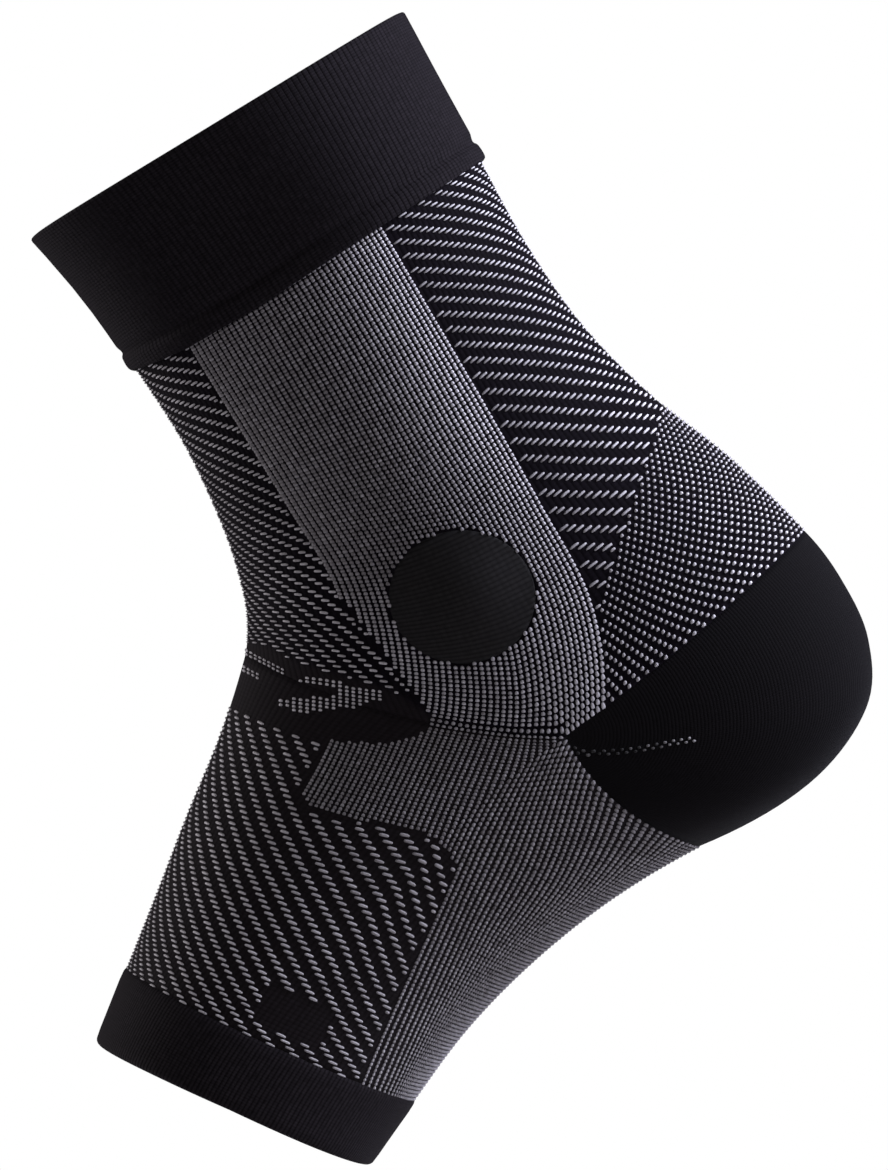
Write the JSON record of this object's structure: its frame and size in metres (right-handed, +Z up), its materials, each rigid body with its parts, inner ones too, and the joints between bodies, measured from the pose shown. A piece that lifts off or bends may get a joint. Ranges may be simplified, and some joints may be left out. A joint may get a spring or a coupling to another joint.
{
  "type": "ankle sleeve",
  "caption": "Knitted compression ankle sleeve for a left foot, open at leg and toes, with ribbed straps, plain ankle patches, a pocket heel and turned welts.",
  "frame": {"origin": "middle of the ankle, on the line between the two ankle bones, where the sleeve sits on the joint", "axes": "+Z up the leg, -X toward the toes, -Y toward the outer (lateral) side of the left foot"},
  "size_m": [0.1751, 0.0856, 0.1929],
  "materials": {
    "cuff_knit": "fine plain-knit black nylon, matt",
    "leg_knit": "black ground with grey and light grey knitted stitches",
    "patch_knit": "plain black knit, matt",
    "heel_knit": "fine ribbed black knit, matt",
    "foot_knit": "black ground with grey ribs and light grey stitches",
    "band_knit": "fine plain-knit black nylon, matt"
  },
  "bodies": {
    "root": {"top_cuff": "cuff_knit", "leg_tube": "leg_knit", "ankle_patch_lateral": "patch_knit", "ankle_patch_medial": "patch_knit", "heel_pocket": "heel_knit", "foot_tube": "foot_knit", "toe_band": "band_knit"}
  },
  "joints": []
}
